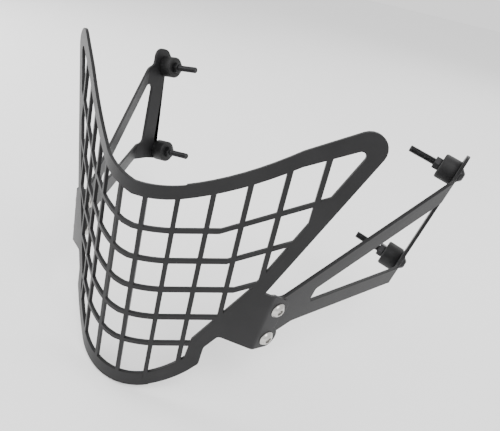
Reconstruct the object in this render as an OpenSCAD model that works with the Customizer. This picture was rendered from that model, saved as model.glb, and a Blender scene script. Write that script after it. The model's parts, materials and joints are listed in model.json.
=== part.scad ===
// Motorcycle headlight guard: a bent sheet-metal grille carried by two folded
// triangular brackets, with screws, nuts and rubber bushes.
//
// Frame: millimetres, +Z up. The plane X = 0 is the plane of symmetry, and the
// nose of the grille faces -Y. Z = 0 is the lowest point of the bottom rim, and
// Y = 0 is half-way between the nose and the backs of the ears. Inside the file
// the sheet is laid out from the nose, at the level of the top row of bars.

/* [Grille sheet] */
// Thickness of the grille and bracket sheet
sheet_t = 2.5; // [2:0.5:4]
// Outer radius of the rounded nose
nose_r = 60; // [45:1:90]
// Angle of each flat wing behind the X axis, in degrees
wing_angle = 32; // [20:1:40]
// Lowest point of the bottom rim, below the top row of bars
bottom_drop = 120; // [110:1:150]
// Width of the rim all round the grille
rim_w = 10; // [7:0.5:12]

/* [Grille bars] */
// Spacing of the upright bars along the sheet
bar_pitch = 20; // [18:0.5:21]
// Number of upright bars on each side of the middle
bars_per_side = 6; // [4:1:6]
// Spacing of the rows of cross bars
row_pitch = 21.5; // [19:0.5:22]
// Number of rows of cross bars
rows = 5; // [3:1:5]
// Width of every bar
bar_w = 3.2; // [2.5:0.1:5]

/* [Tabs] */
// Distance of the tab bend from the middle, along the sheet
tab_s = 98.5; // [94:0.5:104]
// Height of the middle of the tab bend
tab_z = -47.5; // [-54:0.5:-42]
// Angle that the tab is bent back from the wing
tab_angle = 35; // [20:1:45]
// Inside radius of every sheet bend
bend_r = 3; // [2:0.5:5]

/* [Brackets] */
// Length of the bracket from the tab bend to its own fold
arm_len = 126; // [110:1:145]
// Angle that the ears are folded in from the arms
fold_angle = 27; // [10:1:40]
// Width of the upright strut between the ears
strut_w = 16; // [12:1:20]
// Radius of the rounded ear round each mounting bolt
ear_r = 9.5; // [8:0.5:10]

/* [Fasteners] */
// Thread radius of all screws, M6
thread_r = 3; // [2.5:0.5:4]
// Free thread of the mounting bolts past their nuts
mount_reach = 21.5; // [15:0.5:35]
// Outside radius of the rubber bushes
bush_r = 10.5; // [9:0.5:12]
// Length of the rubber bushes
bush_len = 13; // [10:1:16]
// Free thread of the tab screws past their nuts
tab_reach = 1; // [0.5:0.5:4]

/* [Hidden] */
$fa = 4;
$fs = 0.5;
black_coat = [0.10, 0.10, 0.11];
rubber = [0.07, 0.07, 0.07];
black_steel = [0.16, 0.16, 0.17];
bright_steel = [0.55, 0.55, 0.54];

// Fastener sizes that follow from the M6 thread
hole_r = thread_r + 0.3;
head_r = thread_r * 1.75;
head_h = thread_r * 1.1;
socket_af = thread_r * 4 / 3;
socket_depth = head_h * 0.6;
nut_af = thread_r * 10 / 3;
nut_h = thread_r * 5 / 3;
shank_r = thread_r * 0.93;
bore_gap = 0.02;
nut_chamfer_r = nut_af * 0.53;
washer_r = thread_r * 2.05;
washer_t = 1.6;
mount_grip = washer_t + sheet_t + bush_len + nut_h;
mount_len = mount_grip + mount_reach;
tab_screw_len = 2 * sheet_t + nut_h + tab_reach;
bush_bore_r = shank_r + 2 * bore_gap;
bush_chamfer = 1.5;
tip_chamfer = 0.6;

// The origin lies this far behind the nose
half_depth = 112;

// The nose is an arc, and the wings are flat from its ends
nose_half = nose_r * wing_angle * PI / 180;
bottom_r = 80;
bottom_centre = bottom_r - bottom_drop;
top_mid = 32;
row_rise = 0.202;
row_kink = 0.372;
kink_s = 58.5;
kink_step = 8.1;
row_flat = 4;
shoulder_s = 94.4;
back_foot = [94.5, -24.5];
back_tip_s = 139.6;
tip_r = 11;
// The throat is where the sides step in above the round bottom rim
throat_z = bottom_centre - 48.5;

// Bends: the outer face turns round the outer radius
bend_steps = 6;
bend_out = bend_r + sheet_t;
tab_setback = bend_out * tan(tab_angle / 2);
fold_setback = bend_out * tan(fold_angle / 2);
tab_half = 21.8;
tab_lean = 6.4;
arm_turn = 12;

// Screws in the tab, as [distance from the bend, height along it]
tab_screws = [[8.6, 9.8], [8.8, -13.8]];
tab_lobe_r = 8.6;
// Bolts in the ears, as [distance from the fold, height]
ear_bolts = [[24, 136.5], [34, 49]];
ear_tip = [16, 144];
strut_x = 8;
level_names = ["upper", "lower"];
side_names = ["left", "right"];

// ---------- outline helpers ----------

function unit(v) = v / norm(v);

// Points of the fillet of radius r at corner b of the path a, b, c
function fillet(a, b, c, r, n = 6) =
    let (u = unit(a - b), v = unit(c - b), half = acos(min(1, max(-1, u * v))) / 2)
    r <= 0 || half > 89 ? [b] :
    let (
        m = b + unit(u + v) * r / sin(half),
        p = b + u * r / tan(half) - m,
        turn = sign(u[0] * v[1] - u[1] * v[0]) * (180 - 2 * half)
    )
    [for (i = [0 : n]) let (t = -turn * i / n)
        m + [p[0] * cos(t) - p[1] * sin(t), p[0] * sin(t) + p[1] * cos(t)]];

// A closed outline from corners given as [x, y, fillet radius]
function rounded(pts) =
    let (n = len(pts), q = [for (p = pts) [p[0], p[1]]])
    [for (i = [0 : n - 1]) each fillet(q[(i + n - 1) % n], q[i], q[(i + 1) % n], pts[i][2])];

// ---------- the flat pattern of the grille: s along the sheet, z up ----------

function rim_top(s) = top_mid + 0.11 * s + 0.0035 * s * s;
function field_top(s) = top_mid - rim_w * 0.9 + 0.11 * s + 0.0033 * s * s;
function rim_bottom(s) = bottom_centre - sqrt(bottom_r * bottom_r - s * s);
function field_bottom(s) = bottom_centre - sqrt(pow(bottom_r - rim_w, 2) - s * s);

tip_centre = [back_tip_s - tip_r * 0.92, 81.5];
bend_foot = [tab_s + tab_half * sin(tab_lean), tab_z + tab_half * cos(tab_lean)];
bend_toe = [tab_s - tab_half * sin(tab_lean), tab_z - tab_half * cos(tab_lean)];
tab_way = [cos(tab_lean), -sin(tab_lean)];

// Right half of the sheet, without its windows
module sheet_outline() {
    polygon(concat(
        [[0, rim_bottom(0)]],
        [[0, rim_top(0)]],
        [for (s = [8 : 8 : shoulder_s]) [s, rim_top(s)]],
        [[shoulder_s, rim_top(shoulder_s)]],
        [tip_centre + tip_r * [-0.477, 0.879]],
        [for (a = [105 : -14 : -21]) tip_centre + tip_r * [cos(a), sin(a)]],
        [back_foot],
        [bend_foot - tab_setback * tab_way, bend_foot + 35 * tab_way],
        [bend_toe + 35 * tab_way, bend_toe - tab_setback * tab_way],
        fillet([96, -69.3], [72.2, -63.4], [64.5, -74.3], 3),
        fillet([72.2, -63.4], [64.5, -74.3], [63.6, throat_z], 5),
        fillet([64.5, -74.3], [63.6, throat_z], [57, rim_bottom(57)], 4),
        [for (s = [57 : -3 : 3]) [s, rim_bottom(s)]]
    ));
}

// Right half of the area inside the rim, where the windows are
module window_field() {
    polygon(concat(
        [[0, field_bottom(0)]],
        [[0, field_top(0)]],
        [for (s = [8 : 8 : 96]) [s, field_top(s)]],
        fillet([96, field_top(96)], [132.6, 83.6], [85.4, -22.3], 3),
        [[85.4, -22.3]],
        fillet([85.4, -22.3], [55.4, -69.5], [53.5, throat_z + 2], 2),
        [for (s = [53.5 : -3.5 : 4.5]) [s, field_bottom(s)]]
    ));
}

// Where row j of the cross bars kinks up towards the tip
function row_kink_s(j) = kink_s + kink_step * j;

// Height of the middle of row j: a slight rise outwards, steeper past the kink
function row_z(j, s) =
    bar_w / 2 - row_pitch * j + row_rise * max(s, row_flat) + row_kink * max(0, s - row_kink_s(j));

module row_bar(j) {
    line = [for (s = [0, row_flat, row_kink_s(j), 150]) [s, row_z(j, s)]];
    polygon(concat(
        [for (p = line) p - [0, bar_w / 2]],
        [for (i = [len(line) - 1 : -1 : 0]) line[i] + [0, bar_w / 2]]
    ));
}

module bars() {
    last = (bars_per_side - 0.5) * bar_pitch;
    for (i = [0 : bars_per_side - 1])
        translate([(i + 0.5) * bar_pitch - bar_w / 2, -bottom_drop])
            square([bar_w, 250]);
    for (j = [0 : rows - 1])
        row_bar(j);
    // Past the last upright bar the sheet is whole below the top row
    polygon([[last, row_z(0, last)], [last, -bottom_drop], [150, -bottom_drop], [150, row_z(0, 150)]]);
}

// The windows between the distances s0 and s1 from the middle
module windows(s0, s1) {
    difference() {
        intersection() {
            window_field();
            translate([s0, -bottom_drop])
                square([s1 - s0, 250]);
        }
        bars();
    }
}

// ---------- placing things on the bent sheet ----------

// The frame in which the sheet is laid out, with its origin on the nose
module from_nose() {
    translate([0, -half_depth, bottom_drop])
        children();
}

// Tangent frame of the sheet at distance s: X along the sheet, Y into it
module at_sheet(s) {
    turn = min(s, nose_half) * 180 / (PI * nose_r);
    translate([0, nose_r, 0])
        rotate([0, 0, turn])
            translate([-min(s, nose_half), -nose_r, 0])
                children();
}

// Flat frame standing on its X-Z plane, extruded into the sheet
module plate(t = sheet_t, y = 0) {
    translate([0, y + t, 0])
        rotate([90, 0, 0])
            linear_extrude(t)
                children();
}

// Frame of the tab: X back from the bend, Y inwards, Z up along the bend
module at_tab() {
    at_sheet(nose_half)
        translate([tab_s, 0, tab_z])
            rotate([0, tab_lean, 0])
                rotate([0, 0, tab_angle])
                    children();
}

// Frame of the bracket arms, whose outer face lies on the back of the tab
module at_arm() {
    at_tab()
        rotate([0, arm_turn, 0])
            translate([0, sheet_t, 0])
                children();
}

// Frame of the bracket ears: X back from the fold, Y inwards
module at_ear() {
    at_arm()
        translate([arm_len, 0, 0])
            rotate([0, 0, fold_angle])
                children();
}

module on_side(side) {
    mirror([side == "left" ? 1 : 0, 0, 0])
        children();
}

// Arc of radius r in a bend through this angle, from the first flat to the second
function bend_arc(angle, setback_len, r) =
    [for (i = [0 : bend_steps]) let (a = angle * i / bend_steps - 90)
        [-setback_len + r * cos(a), bend_out + r * sin(a)]];

function reversed(v) = [for (i = [len(v) - 1 : -1 : 0]) v[i]];

// Round hole through sheet at [x, z] of the current frame
module hole(p, r = hole_r, depth = 4 * sheet_t) {
    translate([p[0], depth / 2, p[1]])
        rotate([90, 0, 0])
            cylinder(h = depth, r = r);
}

// ---------- sheet-metal pieces ----------

module nose_shell() {
    half = nose_half;
    steps = 8;
    arc_x = [for (i = [-steps : steps]) [half * i / steps, nose_r * sin(wing_angle * i / steps)]];
    intersection() {
        translate([0, nose_r, -bottom_drop - 5])
            rotate([0, 0, -90 - wing_angle])
                rotate_extrude(angle = 2 * wing_angle)
                    translate([nose_r - sheet_t, 0])
                        square([sheet_t, bottom_drop + 60]);
        plate(nose_r, -1)
            polygon(concat(
                [for (p = arc_x) [p[1] * 1.02, rim_top(abs(p[0]))]],
                [for (i = [2 * steps : -1 : 0]) [arc_x[i][1] * 1.02, rim_bottom(abs(arc_x[i][0]))]]
            ));
    }
}

// Outline of the tab, with a lobe round each screw
module tab_outline() {
    polygon([
        [-1, tab_half + 1], [tab_setback + 1, tab_half], tab_screws[0] + [2, tab_lobe_r - 0.3],
        tab_screws[1] + [0, -tab_lobe_r], [tab_setback + 1, -tab_half], [-1, -tab_half - 1],
    ]);
    for (p = tab_screws)
        translate(p)
            circle(r = tab_lobe_r);
    translate([tab_screws[0][0], tab_screws[1][1]])
        square([4.5, tab_screws[0][1] - tab_screws[1][1]]);
}

// Flat wing, bend and tab of the right side: the strip bends only below the wing's back edge
module wing() {
    along = 35 * [cos(tab_angle), sin(tab_angle)];
    inward = sheet_t * [-sin(tab_angle), cos(tab_angle)];
    difference() {
        at_sheet(nose_half)
            intersection() {
                translate([tab_s, 0, tab_z])
                    rotate([0, tab_lean, 0]) {
                        translate([0, 0, -150])
                            linear_extrude(151.2 + tab_half)
                                polygon(concat(
                                    [[-150, 0]],
                                    bend_arc(tab_angle, tab_setback, bend_out),
                                    [along, along + inward],
                                    reversed(bend_arc(tab_angle, tab_setback, bend_r)),
                                    [[-150, sheet_t]]
                                ));
                        translate([-150, 0, tab_half + 0.4])
                            cube([250, sheet_t, 200]);
                    }
                plate(60, -20)
                    intersection() {
                        sheet_outline();
                        translate([nose_half, -bottom_drop])
                            square([200, 250]);
                    }
            }
        at_tab()
            plate(sheet_t + 8, -4)
                difference() {
                    translate([tab_setback + 0.6, -60])
                        square([60, 63 + tab_half]);
                    tab_outline();
                }
        at_tab()
            for (p = tab_screws)
                hole(p);
    }
}

module window_cuts() {
    first = bar_pitch / 2;
    at_sheet(first * 2)
        plate(12, -6)
            windows(first, first + bar_pitch);
    at_sheet(nose_half)
        plate(12, -6)
            windows(first + bar_pitch, 150);
}

module guard_grille() {
    color(black_coat)
        from_nose()
            difference() {
                union() {
                    nose_shell();
                    wing();
                    on_side("left")
                        wing();
                }
                plate(12, -6) {
                    windows(0, bar_pitch / 2);
                    mirror([1, 0])
                        windows(0, bar_pitch / 2);
                }
                window_cuts();
                on_side("left")
                    window_cuts();
            }
}

// Corners of the bracket in the flat, X measured through the fold
function bracket_corners() =
    let (
        f = arm_len, strut = f + strut_x + strut_w, e = ear_r, q = 0.99 * ear_r,
        tip = ear_tip + [f, 0], upper = ear_bolts[0] + [f, 0], lower = ear_bolts[1] + [f, 0]
    )
    [
        [0.5, 12, 2], [2, 19, 4], [9.5, 19.4, 8], [f - 4, 128.5, 14],
        [tip.x - e, tip.y - 8.5, 6], [tip.x - e, tip.y + e, q], [tip.x + 7, tip.y + e, 7.5],
        [upper.x + e, upper.y + 7, 7], [upper.x + e, upper.y - e, q], [strut, upper.y - e, 0],
        [strut, lower.y + e, 3], [lower.x + e, lower.y + e, q], [lower.x + e, lower.y - e, q],
        [f + 17.5, lower.y - e, 12], [f - 2, 37, 12],
        [31, 0.5, 12], [20.3, -9, 4], [18, -18, 6], [8, -20, 5], [5, -12, 3],
    ];
window_corners = [
    [37.8, 17, 1.5], [36.8, 28, 3],
    [arm_len + strut_x, 120.3, 4], [arm_len + strut_x, 55.4, 6],
];

// The flat outline as it looks along the middle of the fold
function seen(points) = [for (p = points) [(p[0] - arm_len) * cos(fold_angle / 2), p[1]]];

// One folded bracket, right side, in the arm frame
module bracket_body() {
    mid = fold_angle / 2;
    along = [cos(fold_angle), sin(fold_angle)];
    inward = [-sin(fold_angle), cos(fold_angle)];
    intersection() {
        translate([arm_len, 0, -40])
            linear_extrude(220)
                polygon(concat(
                    [[-arm_len - 10, 0]],
                    bend_arc(fold_angle, fold_setback, bend_out),
                    [60 * along, 60 * along + sheet_t * inward],
                    reversed(bend_arc(fold_angle, fold_setback, bend_r)),
                    [[-arm_len - 10, sheet_t]]
                ));
        translate([arm_len, 0, 0])
            rotate([0, 0, mid])
                plate(120, -60)
                    difference() {
                        polygon(seen(rounded(bracket_corners())));
                        polygon(seen(rounded(window_corners)));
                    }
    }
}

module bracket(side) {
    color(black_coat)
        from_nose()
            on_side(side)
                difference() {
                    at_arm()
                        bracket_body();
                    at_ear()
                        for (p = ear_bolts)
                            hole(p);
                    at_tab()
                        for (p = tab_screws)
                            translate([0, sheet_t, 0])
                                hole(p);
                }
}

// ---------- fasteners, with the head at Y < 0 and the tip at Y > 0 ----------

// Button head with a hex socket, seated on Y = 0, its plain shank as thick as a rolled blank
module button_screw(length, plain) {
    dome_r = (head_r * head_r + head_h * head_h) / (2 * head_h);
    rotate([90, 0, 0])
        difference() {
            union() {
                intersection() {
                    cylinder(h = head_h * 0.92, r = head_r);
                    translate([0, 0, head_h - dome_r])
                        sphere(r = dome_r);
                }
                translate([0, 0, -length + tip_chamfer])
                    cylinder(h = length - tip_chamfer - plain, r = thread_r);
                translate([0, 0, -plain])
                    cylinder(h = plain + 0.5, r = shank_r);
                translate([0, 0, -length])
                    cylinder(h = tip_chamfer, r1 = thread_r - tip_chamfer, r2 = thread_r);
            }
            translate([0, 0, head_h - socket_depth])
                cylinder(h = head_h, r = socket_af / sqrt(3), $fn = 6);
        }
}

// Hex nut standing on Y = 0 and reaching inwards
module hex_nut(bore) {
    rotate([-90, 0, 0])
        difference() {
            intersection() {
                cylinder(h = nut_h, r = nut_af / sqrt(3), $fn = 6);
                cylinder(h = nut_h, r1 = nut_chamfer_r, r2 = nut_chamfer_r + nut_h * 2);
                translate([0, 0, -nut_h * 2])
                    cylinder(h = nut_h * 3, r1 = nut_chamfer_r + nut_h * 6, r2 = nut_chamfer_r);
            }
            translate([0, 0, -1])
                cylinder(h = nut_h + 2, r = bore);
        }
}

module ring(r, bore, t) {
    rotate([-90, 0, 0])
        difference() {
            cylinder(h = t, r = r);
            translate([0, 0, -1])
                cylinder(h = t + 2, r = bore);
        }
}

module rubber_bush() {
    rotate([-90, 0, 0])
        difference() {
            union() {
                cylinder(h = bush_len - bush_chamfer, r = bush_r);
                translate([0, 0, bush_len - bush_chamfer])
                    cylinder(h = bush_chamfer, r1 = bush_r, r2 = bush_r - bush_chamfer);
            }
            translate([0, 0, -1])
                cylinder(h = bush_len + 2, r = bush_bore_r);
        }
}

// Frame of ear bolt number k, or of tab screw number k, on one side
module at_mount(side, k, y) {
    from_nose()
        on_side(side)
            at_ear()
                translate([ear_bolts[k][0], y, ear_bolts[k][1]])
                    children();
}

module at_tab_screw(side, k, y) {
    from_nose()
        on_side(side)
            at_tab()
                translate([tab_screws[k][0], y, tab_screws[k][1]])
                    children();
}

module mount_bolt(side, k) {
    color(black_steel)
        at_mount(side, k, -washer_t)
            button_screw(mount_len, mount_grip);
}

module mount_washer(side, k) {
    color(black_steel)
        at_mount(side, k, -washer_t)
            ring(washer_r, hole_r, washer_t);
}

module mount_bush(side, k) {
    color(rubber)
        at_mount(side, k, sheet_t)
            rubber_bush();
}

module mount_nut(side, k) {
    color(black_steel)
        at_mount(side, k, sheet_t + bush_len)
            hex_nut(shank_r + bore_gap);
}

module tab_screw(side, k) {
    color(bright_steel)
        at_tab_screw(side, k, 0)
            button_screw(tab_screw_len, 0);
}

module tab_nut(side, k) {
    color(bright_steel)
        at_tab_screw(side, k, 2 * sheet_t)
            hex_nut(thread_r + bore_gap);
}

// ---------- drawing ----------

guard_grille();
bracket("left");  // bracket_left
bracket("right");  // bracket_right
for (side = side_names)
    for (k = [0, 1]) {
        place = str("_", side, "_", level_names[k]);
        mount_bolt(side, k);
        mount_washer(side, k);
        mount_bush(side, k);
        mount_nut(side, k);
        tab_screw(side, k);
        tab_nut(side, k);
    }
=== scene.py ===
"""Looks of a motorcycle headlight guard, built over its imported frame.

The grille and the two brackets are laser-cut sheet with rounded edges and a satin
black powder coat. Four mounting bolts with threads, washers, nuts and rubber bushes
stand in the ears of the brackets, and four bare steel screws hold the brackets to
the tabs of the grille. All lengths are metres unless a name ends in _mm.
"""

import json
import logging
import math
from dataclasses import dataclass, field
from enum import Enum
from typing import Any, Iterator, Optional, Sequence, Union

import bmesh
import bpy
import numpy as np
from mathutils import Matrix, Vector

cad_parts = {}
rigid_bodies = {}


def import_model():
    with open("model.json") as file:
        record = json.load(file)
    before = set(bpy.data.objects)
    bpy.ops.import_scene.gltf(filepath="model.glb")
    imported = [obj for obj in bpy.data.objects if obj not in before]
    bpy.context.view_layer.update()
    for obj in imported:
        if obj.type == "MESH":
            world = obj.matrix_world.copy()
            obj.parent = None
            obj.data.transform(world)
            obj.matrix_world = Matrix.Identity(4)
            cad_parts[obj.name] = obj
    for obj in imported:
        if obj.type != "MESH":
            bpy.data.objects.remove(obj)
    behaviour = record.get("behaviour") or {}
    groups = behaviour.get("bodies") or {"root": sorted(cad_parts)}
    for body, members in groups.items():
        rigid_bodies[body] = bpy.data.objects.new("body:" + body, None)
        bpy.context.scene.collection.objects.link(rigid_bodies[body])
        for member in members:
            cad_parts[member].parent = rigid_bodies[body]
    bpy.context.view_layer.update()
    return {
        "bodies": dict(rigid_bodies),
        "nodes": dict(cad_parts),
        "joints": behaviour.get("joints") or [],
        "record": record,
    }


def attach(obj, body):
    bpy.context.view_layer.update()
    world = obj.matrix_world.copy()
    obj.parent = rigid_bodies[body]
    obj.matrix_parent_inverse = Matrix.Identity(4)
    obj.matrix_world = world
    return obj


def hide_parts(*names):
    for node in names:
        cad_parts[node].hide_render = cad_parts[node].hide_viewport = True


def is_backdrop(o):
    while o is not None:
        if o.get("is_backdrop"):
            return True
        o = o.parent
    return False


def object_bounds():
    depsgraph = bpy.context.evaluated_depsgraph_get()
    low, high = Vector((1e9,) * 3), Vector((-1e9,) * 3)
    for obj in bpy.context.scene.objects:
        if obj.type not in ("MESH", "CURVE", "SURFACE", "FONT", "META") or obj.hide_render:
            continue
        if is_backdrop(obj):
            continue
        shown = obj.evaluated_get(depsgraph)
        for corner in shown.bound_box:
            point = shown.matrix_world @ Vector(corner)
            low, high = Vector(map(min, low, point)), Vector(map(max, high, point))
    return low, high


LOG = logging.getLogger("headlight_guard")
MM = 0.001
BODY = "root"


class Side(Enum):
    """The two halves of the guard, with the sign of X on each."""

    LEFT = -1
    RIGHT = 1

    @property
    def word(self) -> str:
        """The side's name as the frame's nodes spell it."""
        return self.name.lower()


class Level(Enum):
    """The upper and lower fastener of a pair, with its place in each list."""

    UPPER = 0
    LOWER = 1

    @property
    def word(self) -> str:
        """The level's name as the frame's nodes spell it."""
        return self.name.lower()


class Slot(Enum):
    """The record's material slots."""

    COAT = "powder_coat"
    BLACK_STEEL = "black_steel"
    RUBBER = "rubber"
    BRIGHT_STEEL = "bright_steel"


def every_place() -> Iterator[tuple[Side, Level]]:
    """Each side and level in turn, four in all."""
    for side in Side:
        for level in Level:
            yield side, level


# ---------- shader maths ----------

Operand = Union["Value", float, int]


class Shader:
    """One material's node tree, with a single way to add a node."""

    def __init__(self, name: str) -> None:
        """Starts an empty material.

        Args:
            name: The material's name.
        """
        self.material = bpy.data.materials.new(name)
        self.material.use_nodes = True
        self.tree = self.material.node_tree
        self.tree.nodes.clear()

    def node(self, kind: str, settings: Optional[dict[str, Any]] = None, **inputs: Any) -> bpy.types.Node:
        """Adds a node, sets its properties first, and then fills its sockets.

        Args:
            kind: The node's type, such as ShaderNodeMath.
            settings: Properties of the node, such as its operation.
            inputs: Values or links, by the socket's name with _ for a space, or by its number as i0, i1.

        Returns:
            The new node.
        """
        made = self.tree.nodes.new(kind)
        for key, value in (settings or {}).items():
            setattr(made, key, value)
        for key, value in inputs.items():
            numbered = key[0] == "i" and key[1:].isdigit()
            socket = made.inputs[int(key[1:])] if numbered else made.inputs[key.replace("_", " ")]
            if isinstance(value, Value):
                self.tree.links.new(value.socket, socket)
            elif isinstance(value, bpy.types.NodeSocket):
                self.tree.links.new(value, socket)
            else:
                socket.default_value = value
        return made

    def place(self) -> "Value":
        """The point on the piece, in metres, as the object's own coordinates."""
        return Value(self, self.node("ShaderNodeTexCoord").outputs["Object"])

    def noise(self, scale: float, detail: float = 3.0, roughness: float = 0.5) -> "Value":
        """Soft noise over the piece.

        Args:
            scale: Blobs per metre.
            detail: Octaves of finer noise.
            roughness: Strength of each finer octave.

        Returns:
            The noise, from 0 to 1 about 0.5.
        """
        made = self.node(
            "ShaderNodeTexNoise", Vector=self.place(), Scale=scale, Detail=detail, Roughness=roughness
        )
        return Value(self, made.outputs["Fac"])

    def stretched_noise(self, scale: float, stretch: Sequence[float]) -> "Value":
        """Noise drawn out along one axis, for brushed and turned marks.

        Args:
            scale: Blobs per metre before the stretch.
            stretch: Factor on the coordinates along X, Y and Z.

        Returns:
            The noise, from 0 to 1 about 0.5.
        """
        turned = self.node("ShaderNodeMapping", Vector=self.place(), Scale=tuple(stretch))
        made = self.node("ShaderNodeTexNoise", Vector=turned.outputs["Vector"], Scale=scale, Detail=2.0)
        return Value(self, made.outputs["Fac"])

    def edges(self) -> "Value":
        """Pointiness, the mask for painted highlights on convex edges and painted shade in recesses: 0.5 on
        flats, more where the surface is pointed.
        """
        return Value(self, self.node("ShaderNodeNewGeometry").outputs["Pointiness"])

    def blend(self, factor: "Value", low: Sequence[float], high: Sequence[float]) -> "Value":
        """Mixes two colours.

        Args:
            factor: 0 gives the first colour and 1 the second.
            low: First colour, linear RGB.
            high: Second colour, linear RGB.

        Returns:
            The mixed colour.
        """
        made = self.node(
            "ShaderNodeMix", {"data_type": "RGBA"}, Factor=factor, i6=(*low, 1.0), i7=(*high, 1.0)
        )
        return Value(self, made.outputs[2])

    def bump(self, height: "Value", depth: float, strength: float) -> "Value":
        """Turns a height into a normal.

        Args:
            height: Height from 0 to 1.
            depth: What a height of 1 means, in metres.
            strength: Share of the effect from 0 to 1.

        Returns:
            The normal.
        """
        made = self.node("ShaderNodeBump", Height=height, Distance=depth, Strength=strength)
        return Value(self, made.outputs["Normal"])

    def finish(self, **inputs: Any) -> bpy.types.Material:
        """Adds the surface shader and the output.

        Args:
            inputs: Sockets of the surface shader, with _ for a space.

        Returns:
            The finished material.
        """
        surface = self.node("ShaderNodeBsdfPrincipled", **inputs)
        self.node("ShaderNodeOutputMaterial", Surface=surface.outputs["BSDF"])
        return self.material


@dataclass(frozen=True)
class Value:
    """A socket in a shader, on which + - * and a step build nodes."""

    shader: Shader
    socket: bpy.types.NodeSocket

    def _math(self, operation: str, first: Operand, second: Operand) -> "Value":
        """One Math node on two operands."""
        made = self.shader.node("ShaderNodeMath", {"operation": operation}, i0=first, i1=second)
        return Value(self.shader, made.outputs[0])

    def __add__(self, other: Operand) -> "Value":
        """self + other."""
        return self._math("ADD", self, other)

    __radd__ = __add__

    def __sub__(self, other: Operand) -> "Value":
        """self - other."""
        return self._math("SUBTRACT", self, other)

    def __rsub__(self, other: Operand) -> "Value":
        """other - self."""
        return self._math("SUBTRACT", other, self)

    def __mul__(self, other: Operand) -> "Value":
        """self * other."""
        return self._math("MULTIPLY", self, other)

    __rmul__ = __mul__

    def ramp(self, low: float, high: float) -> "Value":
        """A smooth step: 0 below low, 1 above high."""
        made = self.shader.node(
            "ShaderNodeMapRange", {"interpolation_type": "SMOOTHSTEP"}, Value=self, i1=low, i2=high
        )
        return Value(self.shader, made.outputs[0])


# ---------- finishes ----------


@dataclass(frozen=True)
class PowderCoat:
    """Satin black powder coat: fine orange peel, faint cloudiness, and a painted highlight that makes
    convex edges a little greyer.
    """

    base: tuple[float, float, float] = (0.0042, 0.0041, 0.0046)
    cloud: tuple[float, float, float] = (0.0075, 0.0073, 0.0080)
    # Colour of the painted highlight on convex edges.
    edge: tuple[float, float, float] = (0.028, 0.028, 0.030)
    roughness: float = 0.44
    gloss: float = 0.28
    peel_per_m: float = 1700.0
    peel_depth: float = 0.00006

    def build(self) -> bpy.types.Material:
        """The material."""
        shader = Shader("satin_black_powder_coat")
        clouds = shader.noise(38.0, detail=4.0)
        grain = shader.noise(5200.0, detail=2.0)
        peel = shader.noise(self.peel_per_m, detail=2.0)
        # Painted highlight: convex edges, found by their pointiness and broken up by the clouds, are mixed
        # towards the edge colour.
        painted_edge_highlight = shader.edges().ramp(0.53, 0.62) * clouds.ramp(0.35, 0.7)
        tone = shader.blend(clouds.ramp(0.3, 0.7), self.base, self.cloud)
        mixed = shader.node(
            "ShaderNodeMix", {"data_type": "RGBA"}, Factor=painted_edge_highlight * 0.6, i6=tone, i7=(*self.edge, 1.0)
        )
        rough = self.roughness + (clouds - 0.5) * 0.16 + (grain - 0.5) * 0.14
        height = peel + grain * 0.35
        return shader.finish(
            Base_Color=mixed.outputs[2],
            Roughness=rough,
            Specular_IOR_Level=self.gloss,
            Normal=shader.bump(height, self.peel_depth, 0.55),
        )


@dataclass(frozen=True)
class BlackOxide:
    """Oil-blackened steel: dark metal with turning marks, and thread crests and other convex edges painted
    brighter as a highlight.
    """

    base: tuple[float, float, float] = (0.014, 0.014, 0.015)
    # Colour of the painted highlight on thread crests and convex edges.
    rubbed: tuple[float, float, float] = (0.075, 0.075, 0.078)
    roughness: float = 0.40

    def build(self) -> bpy.types.Material:
        """The material."""
        shader = Shader("black_oxide_steel")
        mottle = shader.noise(420.0, detail=4.0)
        fine = shader.noise(5200.0, detail=3.0)
        # Painted highlight: convex edges such as thread crests, found by their pointiness, turn lighter
        # where the mottle allows.
        rubbed = shader.edges().ramp(0.52, 0.6) * mottle.ramp(0.4, 0.62)
        return shader.finish(
            Base_Color=shader.blend(rubbed, self.base, self.rubbed),
            Metallic=0.65,
            Roughness=self.roughness + (mottle - 0.5) * 0.2 + (fine - 0.5) * 0.12,
            Normal=shader.bump(fine + mottle * 0.5, 0.00003, 0.5),
        )


@dataclass(frozen=True)
class MouldedRubber:
    """Matt black rubber with a fine moulded grain and a dusty bloom."""

    base: tuple[float, float, float] = (0.005, 0.005, 0.0054)
    bloom: tuple[float, float, float] = (0.013, 0.013, 0.0135)
    roughness: float = 0.58

    def build(self) -> bpy.types.Material:
        """The material."""
        shader = Shader("moulded_black_rubber")
        bloom = shader.noise(160.0, detail=5.0, roughness=0.6)
        grain = shader.noise(2600.0, detail=3.0)
        return shader.finish(
            Base_Color=shader.blend(bloom.ramp(0.42, 0.68), self.base, self.bloom),
            Roughness=self.roughness + (bloom - 0.5) * 0.3,
            Specular_IOR_Level=0.3,
            Normal=shader.bump(grain, 0.00008, 0.6),
        )


@dataclass(frozen=True)
class BareSteel:
    """Bare stainless steel, lightly handled: fine turned marks, grey smears, and painted shade that darkens
    the recesses.
    """

    bright: tuple[float, float, float] = (0.50, 0.49, 0.47)
    # Darker steel for the random smears and for the painted shade in the recesses.
    dull: tuple[float, float, float] = (0.20, 0.195, 0.19)
    roughness: float = 0.30

    def build(self) -> bpy.types.Material:
        """The material."""
        shader = Shader("bare_stainless_steel")
        smear = shader.noise(700.0, detail=4.0, roughness=0.6)
        scratch = shader.stretched_noise(1500.0, (1.0, 1.0, 9.0))
        # Painted shade: recesses such as the socket and the thread roots, found by their low pointiness,
        # turn towards the darker steel.
        painted_recess_shade = 1 - shader.edges().ramp(0.42, 0.5)
        return shader.finish(
            Base_Color=shader.blend(painted_recess_shade * 0.7 + smear.ramp(0.5, 0.75) * 0.5, self.bright, self.dull),
            Metallic=1.0,
            Roughness=self.roughness + (smear - 0.5) * 0.25 + (scratch - 0.5) * 0.15,
            Normal=shader.bump(scratch, 0.00002, 0.4),
        )


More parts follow.
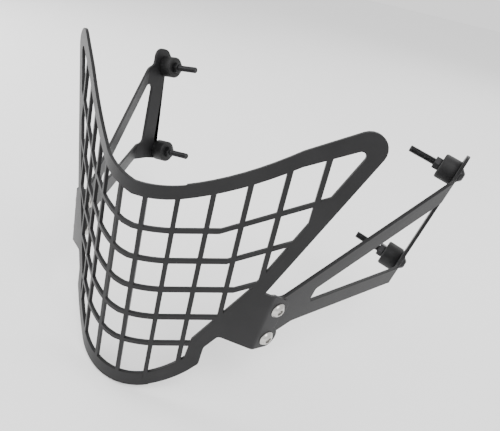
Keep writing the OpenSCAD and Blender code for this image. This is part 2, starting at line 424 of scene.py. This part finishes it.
@dataclass(frozen=True)
class Paper:
    """Plain pale studio floor."""

    tone: tuple[float, float, float] = (0.93, 0.93, 0.93)

    def build(self) -> bpy.types.Material:
        """The material."""
        shader = Shader("studio_paper")
        return shader.finish(Base_Color=(*self.tone, 1.0), Roughness=0.95)


class Palette:
    """One material for each slot of the record."""

    def __init__(self) -> None:
        """Builds the four finishes."""
        self.of: dict[Slot, bpy.types.Material] = {
            Slot.COAT: PowderCoat().build(),
            Slot.BLACK_STEEL: BlackOxide().build(),
            Slot.RUBBER: MouldedRubber().build(),
            Slot.BRIGHT_STEEL: BareSteel().build(),
        }


# ---------- frames on the bent sheet ----------


def shift(x: float, y: float, z: float) -> np.ndarray:
    """A 4x4 translation."""
    made = np.eye(4)
    made[:3, 3] = (x, y, z)
    return made


def turn_z(degrees: float) -> np.ndarray:
    """A 4x4 turn about Z."""
    c, s = math.cos(math.radians(degrees)), math.sin(math.radians(degrees))
    made = np.eye(4)
    made[:2, :2] = ((c, -s), (s, c))
    return made


def turn_y(degrees: float) -> np.ndarray:
    """A 4x4 turn about Y."""
    c, s = math.cos(math.radians(degrees)), math.sin(math.radians(degrees))
    made = np.eye(4)
    made[0, 0], made[0, 2], made[2, 0], made[2, 2] = c, s, -s, c
    return made


@dataclass(frozen=True)
class Layout:
    """The sizes that place the tabs and ears, in millimetres and degrees.

    The sheet is laid out from the nose. A tab hangs on each wing, an arm on each
    tab and an ear on each arm; in all of these frames Y points inwards.
    """

    sheet_mm: float = 2.5
    nose_r_mm: float = 60.0
    wing_angle: float = 32.0
    origin_behind_nose_mm: float = 112.0
    row_above_floor_mm: float = 120.0
    tab_s_mm: float = 98.5
    tab_z_mm: float = -47.5
    tab_lean: float = 6.4
    tab_angle: float = 35.0
    arm_turn: float = 12.0
    arm_mm: float = 126.0
    fold_angle: float = 27.0
    tab_screws_mm: tuple[tuple[float, float], ...] = ((8.6, 9.8), (8.8, -13.8))
    ear_bolts_mm: tuple[tuple[float, float], ...] = ((24.0, 136.5), (34.0, 49.0))

    def wing(self) -> np.ndarray:
        """The flat wing's frame: X along the sheet from the middle of the nose."""
        half_nose = self.nose_r_mm * math.radians(self.wing_angle)
        return (
            shift(0, -self.origin_behind_nose_mm, self.row_above_floor_mm)
            @ shift(0, self.nose_r_mm, 0)
            @ turn_z(self.wing_angle)
            @ shift(-half_nose, -self.nose_r_mm, 0)
        )

    def tab(self) -> np.ndarray:
        """The tab's frame, with its origin in the middle of the bend."""
        bend = shift(self.tab_s_mm, 0, self.tab_z_mm) @ turn_y(self.tab_lean)
        return self.wing() @ bend @ turn_z(self.tab_angle)

    def ear(self) -> np.ndarray:
        """The ears' frame, with its origin on the bracket's fold."""
        arm = self.tab() @ turn_y(self.arm_turn) @ shift(0, self.sheet_mm, 0)
        return arm @ shift(self.arm_mm, 0, 0) @ turn_z(self.fold_angle)

    def screw_frame(self, side: Side, level: Level) -> np.ndarray:
        """Where a tab screw sits: Z along it towards the head, origin under the head."""
        x, z = self.tab_screws_mm[level.value]
        return self._axis_frame(self.tab() @ shift(x, 0, z), side)

    def bolt_frame(self, side: Side, level: Level) -> np.ndarray:
        """Where a mounting bolt sits: Z along it towards the head, origin on the ear's face."""
        x, z = self.ear_bolts_mm[level.value]
        return self._axis_frame(self.ear() @ shift(x, 0, z), side)

    @staticmethod
    def _axis_frame(right: np.ndarray, side: Side) -> np.ndarray:
        """A right-handed frame whose Z is the outward normal, mirrored in place for the left.

        Args:
            right: The frame on the right side, whose Y points inwards.
            side: The side that is wanted.

        Returns:
            A 4x4 frame in millimetres.
        """
        mirror = np.diag([float(side.value), 1.0, 1.0])
        made = np.eye(4)
        z_axis = -(mirror @ right[:3, 1])
        x_axis = mirror @ right[:3, 0]
        made[:3, 0] = x_axis
        made[:3, 1] = np.cross(z_axis, x_axis)
        made[:3, 2] = z_axis
        made[:3, 3] = mirror @ right[:3, 3]
        return made


# ---------- surfaces on a grid ----------


def around(count: int) -> np.ndarray:
    """Evenly spaced angles of a full turn, in radians."""
    return np.arange(count) * (2 * math.pi / count)


def hexagon(flat_to_flat: float, theta: np.ndarray) -> np.ndarray:
    """Radius of a hexagon: half its width over the cosine of the angle from the nearest flat."""
    off = np.mod(theta, math.pi / 3) - math.pi / 6
    return 0.5 * flat_to_flat / np.cos(off)


def rounded_path(corners: Sequence[tuple[float, float, float]], closed: bool, steps: int = 5) -> np.ndarray:
    """A path of straight runs with an arc at each corner.

    At a corner of half-angle h between its two runs, an arc of radius q starts
    q / tan(h) away and has its centre q / sin(h) away along the bisector.

    Args:
        corners: (radius from the axis, height, arc radius) for each corner.
        closed: Whether the last corner runs on to the first.
        steps: Points on each arc, less one.

    Returns:
        (points, 2) array of radius and height.
    """
    flat = np.array([c[:2] for c in corners], float)
    made = []
    for i, (_, _, arc) in enumerate(corners):
        inner = closed or 0 < i < len(corners) - 1
        if arc <= 0 or not inner:
            made.append(flat[i : i + 1])
            continue
        back = flat[i - 1] - flat[i]
        ahead = flat[(i + 1) % len(corners)] - flat[i]
        back, ahead = back / np.linalg.norm(back), ahead / np.linalg.norm(ahead)
        half = 0.5 * math.acos(float(np.clip(back @ ahead, -1, 1)))
        bisector = (back + ahead) / np.linalg.norm(back + ahead)
        centre = flat[i] + bisector * arc / math.sin(half)
        start = flat[i] + back * arc / math.tan(half) - centre
        stop = flat[i] + ahead * arc / math.tan(half) - centre
        share = np.linspace(0, 1, steps + 1)[:, None]
        swing = math.pi - 2 * half
        toward = np.sin((1 - share) * swing) * start + np.sin(share * swing) * stop
        made.append(centre + toward / math.sin(swing))
    return np.vstack(made)


def turned(path: np.ndarray, theta: np.ndarray) -> np.ndarray:
    """Carries a path round the Z axis: each point keeps its radius and height.

    Args:
        path: (rings, 2) radius and height.
        theta: Angles of the columns.

    Returns:
        (rings, columns, 3) points.
    """
    return polar(np.repeat(path[:, :1], len(theta), 1), path[:, 1:], theta)


def polar(radius: np.ndarray, height: np.ndarray, theta: np.ndarray) -> np.ndarray:
    """Points at radius (rings, columns) and height (rings, 1), at the angles of the columns."""
    x, y, z = np.broadcast_arrays(radius * np.cos(theta), radius * np.sin(theta), height)
    return np.stack([x, y, z], axis=-1)


def grid_faces(rings: int, columns: int, loop: bool) -> np.ndarray:
    """Quads between neighbouring rings of a grid whose columns go all the way round.

    Args:
        rings: Number of rings.
        columns: Number of points in a ring.
        loop: Whether the last ring joins the first.

    Returns:
        (faces, 4) vertex numbers, wound so that a path that climbs outside faces outwards.
    """
    ring = np.arange(rings if loop else rings - 1)[:, None]
    column = np.arange(columns)[None, :]
    ahead, beside = (ring + 1) % rings, (column + 1) % columns
    corners = (
        ring * columns + column,
        ring * columns + beside,
        ahead * columns + beside,
        ahead * columns + column,
    )
    return np.stack(np.broadcast_arrays(*corners), axis=-1).reshape(-1, 4)


def mesh_from_grid(name: str, points: np.ndarray, loop: bool) -> bpy.types.Mesh:
    """A closed mesh from a grid: a ring like a washer, or a rod whose two ends close on poles.

    Args:
        name: The mesh's name.
        points: (rings, columns, 3) points in metres.
        loop: True for a ring, False for a rod.

    Returns:
        The mesh.
    """
    rings, columns = points.shape[:2]
    verts = points.reshape(-1, 3)
    faces = grid_faces(rings, columns, loop).tolist()
    if not loop:
        ends = np.stack([points[0].mean(axis=0), points[-1].mean(axis=0)])
        verts = np.vstack([verts, ends])
        first, last = rings * columns, rings * columns + 1
        start = np.arange(columns)
        after = (start + 1) % columns
        top = (rings - 1) * columns
        faces += np.stack([after, start, np.full(columns, first)], axis=-1).tolist()
        faces += np.stack([top + start, top + after, np.full(columns, last)], axis=-1).tolist()
    mesh = bpy.data.meshes.new(name)
    mesh.from_pydata(verts.tolist(), [], faces)
    mesh.update()
    return mesh


def into_place(points_mm: np.ndarray, frame_mm: np.ndarray) -> np.ndarray:
    """Moves points from a fastener's own frame into the guard's, in metres."""
    return (points_mm @ frame_mm[:3, :3].T + frame_mm[:3, 3]) * MM


def shade(mesh: bpy.types.Mesh, sharp_degrees: float = 35.0) -> None:
    """Shades a mesh smooth but for edges sharper than the angle."""
    mesh.shade_smooth()
    mesh.set_sharp_from_angle(angle=math.radians(sharp_degrees))


def add_piece(name: str, mesh: bpy.types.Mesh, slot: Slot, palette: Palette, node: str) -> bpy.types.Object:
    """Puts a mesh in the scene in place of a node of the frame.

    Args:
        name: The piece's name.
        mesh: Its mesh, already in place.
        slot: Its material slot.
        palette: The materials.
        node: The node that it stands for.

    Returns:
        The piece.
    """
    mesh.materials.clear()
    mesh.materials.append(palette.of[slot])
    piece = bpy.data.objects.new(name, mesh)
    bpy.context.scene.collection.objects.link(piece)
    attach(piece, BODY)
    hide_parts(node)
    LOG.info("%s: %d faces, stands for %s", name, len(mesh.polygons), node)
    return piece


# ---------- sheet metal ----------


@dataclass
class SheetPart:
    """A laser-cut sheet whose cut edges are rounded by the blasting and the coat."""

    node: str
    palette: Palette
    edge_mm: float = 0.35
    crease_degrees: float = 40.0
    merge_m: float = 2e-6
    flat_degrees: float = 0.4

    def merged(self, source: bpy.types.Mesh) -> bpy.types.Mesh:
        """A copy of the node's mesh with its loose triangles joined and flats made whole."""
        work = bmesh.new()
        work.from_mesh(source)
        bmesh.ops.remove_doubles(work, verts=work.verts, dist=self.merge_m)
        bmesh.ops.dissolve_limit(
            work,
            angle_limit=math.radians(self.flat_degrees),
            verts=work.verts,
            edges=work.edges,
            delimit={"NORMAL"},
        )
        mesh = bpy.data.meshes.new(f"{self.node}_sheet")
        work.to_mesh(mesh)
        work.free()
        return mesh

    def build(self, source: bpy.types.Object) -> bpy.types.Object:
        """Makes the coated sheet.

        Args:
            source: The node of the frame.

        Returns:
            The piece.
        """
        mesh = self.merged(source.data)
        piece = add_piece(f"{self.node}_coated", mesh, Slot.COAT, self.palette, self.node)
        edge = piece.modifiers.new("cut_edges", "BEVEL")
        edge.width = self.edge_mm * MM
        edge.segments = 2
        edge.limit_method = "ANGLE"
        edge.angle_limit = math.radians(self.crease_degrees)
        edge.use_clamp_overlap = False
        edge.harden_normals = True
        shade(mesh, self.crease_degrees)
        return piece


# ---------- fasteners ----------


@dataclass(frozen=True)
class Thread:
    """A metric thread cut into a rod."""

    radius_mm: float = 3.0
    pitch_mm: float = 1.0
    depth_mm: float = 0.5
    rings_per_pitch: int = 10

    def radius_at(self, height: np.ndarray, theta: np.ndarray) -> np.ndarray:
        """Radius of the helix: the outside radius less a rounded groove.

        The groove's depth is the full depth times the square of the sine of half
        the phase, and the phase is one turn for each pitch of height and runs back
        one turn for each turn round the rod, which is a right-hand thread.

        Args:
            height: (rings, 1) heights in millimetres.
            theta: (columns,) angles.

        Returns:
            (rings, columns) radii in millimetres.
        """
        phase = 2 * math.pi * height / self.pitch_mm - theta[None, :]
        return self.radius_mm - self.depth_mm * np.sin(phase / 2) ** 2


@dataclass
class ButtonScrew:
    """A button-head screw with a hex socket, its head seated on height zero.

    The rod's grid starts at the pole of the tip, climbs the thread and the plain
    shank, goes out under the head, over its dome, down the hex socket and in to
    the pole of the socket's floor.
    """

    length_mm: float
    plain_mm: float
    thread: Thread = field(default_factory=Thread)
    shank_mm: float = 2.79
    tip_mm: float = 0.6
    head_r_mm: float = 5.25
    head_h_mm: float = 3.3
    socket_af_mm: float = 4.0
    socket_deep_mm: float = 1.98
    columns: int = 48

    def threaded_rings(self) -> tuple[np.ndarray, np.ndarray]:
        """The thread from the tip up: the groove fades where the tip's cone cuts it.

        Returns:
            Radii (rings, columns) and heights (rings, 1).
        """
        low, high = -self.length_mm, -self.plain_mm
        count = int((high - low) / self.thread.pitch_mm * self.thread.rings_per_pitch) + 1
        height = np.linspace(low, high, count)[:, None]
        theta = around(self.columns)
        cone = self.thread.radius_mm - self.tip_mm + (height - low)
        return np.minimum(self.thread.radius_at(height, theta), cone), height

    def head_path(self) -> np.ndarray:
        """Radius and height from under the head over the dome to the rim of the socket."""
        r, h = self.head_r_mm, self.head_h_mm
        dome_r = (r * r + h * h) / (2 * h)
        rim = self.socket_af_mm / math.sqrt(3) + 0.35
        angle = np.linspace(math.asin((r - 0.04) / dome_r), math.asin(rim / dome_r), 14)
        dome = np.stack([dome_r * np.sin(angle), h - dome_r + dome_r * np.cos(angle)], axis=-1)
        under = np.array([(r - 0.3, 0.0), (r - 0.1, 0.06), (r - 0.02, 0.2), (r, 0.36)])
        keep = dome[dome[:, 1] > 0.5]
        return np.vstack([under, keep])

    def socket_rings(self, theta: np.ndarray) -> tuple[np.ndarray, np.ndarray]:
        """The chamfered mouth, the six flats and the drilled floor of the socket.

        Returns:
            Radii (rings, columns) and heights (rings, 1).
        """
        flats = hexagon(self.socket_af_mm, theta)
        mouth = self.head_path()[-1, 1]
        floor = self.head_h_mm - self.socket_deep_mm
        radii = [flats * 1.06, flats, flats, flats * 0.9, flats * 0.4, flats * 0.05]
        heights = [mouth - 0.02, mouth - 0.2, floor + 0.1, floor, floor - 0.15, floor - 0.3]
        return np.stack(radii), np.array(heights)[:, None]

    def build(self) -> np.ndarray:
        """The whole screw as one grid.

        Returns:
            (rings, columns, 3) points in millimetres.
        """
        theta = around(self.columns)
        thread_r, thread_z = self.threaded_rings()
        parts = [polar(thread_r, thread_z, theta)]
        if self.plain_mm > 0:
            shank = np.array([(self.shank_mm, -self.plain_mm + 0.05), (self.shank_mm, -0.02)])
            parts.append(turned(shank, theta))
        parts.append(turned(self.head_path(), theta))
        socket_r, socket_z = self.socket_rings(theta)
        parts.append(polar(socket_r, socket_z, theta))
        return np.concatenate(parts)


@dataclass
class HexNut:
    """A hex nut with both faces chamfered, standing on height zero and reaching to +Z."""

    across_flats_mm: float = 10.0
    height_mm: float = 5.0
    bore_mm: float = 2.81
    columns: int = 72

    def build(self) -> np.ndarray:
        """The nut as a ring-shaped grid.

        Outside, the radius is the smaller of the hexagon's and the chamfer cone's,
        which widens by 1.73 for each unit of distance from the nearer face.

        Returns:
            (rings, columns, 3) points in millimetres.
        """
        theta = around(self.columns)
        h = self.height_mm
        face_r = self.across_flats_mm * 0.475
        steps = np.array([0.0, 0.12, 0.26, 0.4, 0.55, 0.75])
        height = np.concatenate([steps, h - steps[::-1]])[:, None]
        depth = np.minimum(height, h - height)
        side = np.minimum(hexagon(self.across_flats_mm, theta)[None, :] - 0.04, face_r + 1.732 * depth)
        b = self.bore_mm
        bore = turned(np.array([(b + 0.5, h), (b, h - 0.5), (b, 0.5), (b + 0.5, 0.0)]), theta)
        return np.concatenate([polar(side, height, theta), bore])


@dataclass
class TurnedRing:
    """A washer or bush: a rectangle with rounded corners carried round the axis."""

    outer_mm: float
    bore_mm: float
    thick_mm: float
    low_round_mm: float
    high_round_mm: float
    columns: int = 64

    def build(self) -> np.ndarray:
        """The ring standing on height zero, as (rings, columns, 3) points in millimetres."""
        small = 0.2
        corners = [
            (self.outer_mm, 0.0, self.low_round_mm),
            (self.outer_mm, self.thick_mm, self.high_round_mm),
            (self.bore_mm, self.thick_mm, small),
            (self.bore_mm, 0.0, small),
        ]
        return turned(rounded_path(corners, closed=True), around(self.columns))


@dataclass
class MountStack:
    """Bolt, washer, rubber bush and nut in one ear of a bracket."""

    layout: Layout
    palette: Palette
    washer_mm: float = 1.6
    washer_r_mm: float = 6.15
    washer_bore_mm: float = 3.3
    washer_round_mm: float = 0.3
    bush_mm: float = 13.0
    bush_r_mm: float = 10.5
    bush_bore_mm: float = 2.84
    bush_round_mm: tuple[float, float] = (1.4, 0.35)
    bush_columns: int = 96
    nut_mm: float = 5.0
    free_mm: float = 21.5

    def pieces(self) -> Iterator[tuple[str, Slot, np.ndarray, bool]]:
        """Each piece's name, slot, grid and whether it is a ring, in the bolt's frame."""
        sheet = self.layout.sheet_mm
        grip = self.washer_mm + sheet + self.bush_mm + self.nut_mm
        bolt = ButtonScrew(length_mm=grip + self.free_mm, plain_mm=grip).build()
        yield "mount_bolt", Slot.BLACK_STEEL, bolt + (0, 0, self.washer_mm), False
        edge = self.washer_round_mm
        washer = TurnedRing(self.washer_r_mm, self.washer_bore_mm, self.washer_mm, edge, edge).build()
        yield "mount_washer", Slot.BLACK_STEEL, washer, True
        bush = TurnedRing(
            self.bush_r_mm, self.bush_bore_mm, self.bush_mm, *self.bush_round_mm, columns=self.bush_columns
        ).build()
        yield "mount_bush", Slot.RUBBER, bush - (0, 0, sheet + self.bush_mm), True
        nut = HexNut(height_mm=self.nut_mm).build()
        yield "mount_nut", Slot.BLACK_STEEL, nut - (0, 0, sheet + self.bush_mm + self.nut_mm), True

    def build(self, side: Side, level: Level) -> None:
        """Adds the four pieces in one ear."""
        frame = self.layout.bolt_frame(side, level)
        add_pieces(self.pieces(), frame, side, level, self.palette)


@dataclass
class TabPair:
    """Screw and nut that hold a bracket to the grille's tab."""

    layout: Layout
    palette: Palette
    nut_mm: float = 5.0
    nut_bore_mm: float = 3.02
    reach_mm: float = 1.0

    def pieces(self) -> Iterator[tuple[str, Slot, np.ndarray, bool]]:
        """Each piece's name, slot, grid and whether it is a ring, in the screw's frame."""
        grip = 2 * self.layout.sheet_mm
        length = grip + self.nut_mm + self.reach_mm
        screw = ButtonScrew(length_mm=length, plain_mm=0.0).build()
        yield "tab_screw", Slot.BRIGHT_STEEL, screw, False
        nut = HexNut(height_mm=self.nut_mm, bore_mm=self.nut_bore_mm).build()
        yield "tab_nut", Slot.BRIGHT_STEEL, nut - (0, 0, grip + self.nut_mm), True

    def build(self, side: Side, level: Level) -> None:
        """Adds the two pieces in one hole of a tab."""
        frame = self.layout.screw_frame(side, level)
        add_pieces(self.pieces(), frame, side, level, self.palette)


def add_pieces(
    pieces: Iterator[tuple[str, Slot, np.ndarray, bool]],
    frame: np.ndarray,
    side: Side,
    level: Level,
    palette: Palette,
) -> None:
    """Places a fastener's pieces and adds them to the scene.

    Args:
        pieces: Name, slot, grid in millimetres and whether it is a ring, for each.
        frame: The fastener's frame.
        side: Left or right.
        level: Upper or lower.
        palette: The materials.
    """
    for kind, slot, grid, ring in pieces:
        node = f"{kind}_{side.word}_{level.word}"
        mesh = mesh_from_grid(f"{node}_detail", into_place(grid, frame), ring)
        shade(mesh)
        add_piece(f"{node}_detail", mesh, slot, palette, node)


# ---------- studio ----------


@dataclass(frozen=True)
class Studio:
    """Camera, floor and soft lights."""

    eye: tuple[float, float, float] = (0.1772, -0.3345, 0.2916)
    right: tuple[float, float, float] = (0.8249, 0.5285, 0.2005)
    forward: tuple[float, float, float] = (-0.4381, 0.8219, -0.3641)
    lens_mm: float = 37.9
    shift: tuple[float, float] = (0.0432, -0.1262)
    floor_half: float = 6.0

    def camera(self) -> None:
        """Adds the camera: its axes are the given right and forward, squared up."""
        forward = np.array(self.forward) / np.linalg.norm(self.forward)
        right = np.array(self.right) - forward * (np.array(self.right) @ forward)
        right /= np.linalg.norm(right)
        matrix = np.eye(4)
        matrix[:3, 0], matrix[:3, 1], matrix[:3, 2] = right, np.cross(right, forward), -forward
        matrix[:3, 3] = self.eye
        data = bpy.data.cameras.new("studio_camera")
        data.lens = self.lens_mm
        data.sensor_width = 36.0
        data.sensor_fit = "HORIZONTAL"
        data.shift_x, data.shift_y = self.shift
        data.clip_start, data.clip_end = 0.01, 50.0
        camera = bpy.data.objects.new("studio_camera", data)
        camera.matrix_world = Matrix(matrix.tolist())
        bpy.context.scene.collection.objects.link(camera)
        bpy.context.scene.camera = camera

    def floor(self) -> None:
        """Adds a wide pale floor at the lowest point of the guard."""
        half = self.floor_half
        corners = half * np.array([(-1, -1, 0), (1, -1, 0), (1, 1, 0), (-1, 1, 0)], float)
        corners[:, 2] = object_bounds()[0][2] - 0.0005
        mesh = bpy.data.meshes.new("studio_floor")
        mesh.from_pydata(corners.tolist(), [], [(0, 1, 2, 3)])
        mesh.materials.append(Paper().build())
        sheet = bpy.data.objects.new("studio_floor", mesh)
        bpy.context.scene.collection.objects.link(sheet)
        sheet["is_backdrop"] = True

    def lamp(
        self, name: str, place: Sequence[float], aim: Sequence[float], size: float, watts: float
    ) -> None:
        """Adds one square area light.

        Args:
            name: The light's name.
            place: Where it stands.
            aim: The point it faces.
            size: Its side.
            watts: Its power.
        """
        data = bpy.data.lights.new(name, "AREA")
        data.shape = "SQUARE"
        data.size = size
        data.energy = watts
        lamp = bpy.data.objects.new(name, data)
        back = np.array(place, float) - np.array(aim, float)
        back /= np.linalg.norm(back)
        side = np.cross((0.0, 0.0, 1.0), back)
        side /= np.linalg.norm(side)
        matrix = np.eye(4)
        matrix[:3, 0], matrix[:3, 1], matrix[:3, 2] = side, np.cross(back, side), back
        matrix[:3, 3] = place
        lamp.matrix_world = Matrix(matrix.tolist())
        bpy.context.scene.collection.objects.link(lamp)

    def lights(self) -> None:
        """A pale surround, a soft key from the upper right and a strip that catches the left wing."""
        world = bpy.data.worlds.new("studio_surround")
        world.use_nodes = True
        ground = world.node_tree.nodes["Background"]
        ground.inputs["Color"].default_value = (1.0, 1.0, 1.0, 1.0)
        ground.inputs["Strength"].default_value = 1.3
        bpy.context.scene.world = world
        centre = (0.0, 0.0, 0.1)
        self.lamp("key", (0.9, -0.7, 1.5), centre, 0.9, 24.0)
        self.lamp("left_strip", (-1.5, -0.2, 0.7), centre, 0.8, 26.0)
        self.lamp("back", (0.3, 1.5, 1.2), centre, 1.0, 8.0)

    def build(self) -> None:
        """Sets up the whole studio."""
        self.camera()
        self.floor()
        self.lights()


def main() -> None:
    """Builds the guard's looks over the frame."""
    logging.basicConfig(level=logging.INFO, format="%(name)s: %(message)s")
    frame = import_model()
    Studio().build()
    layout = Layout()
    palette = Palette()
    for node in ("guard_grille", "bracket_left", "bracket_right"):
        SheetPart(node, palette).build(frame["nodes"][node])
    mounts = MountStack(layout, palette)
    tabs = TabPair(layout, palette)
    for side, level in every_place():
        mounts.build(side, level)
        tabs.build(side, level)


if __name__ == "__main__":
    main()
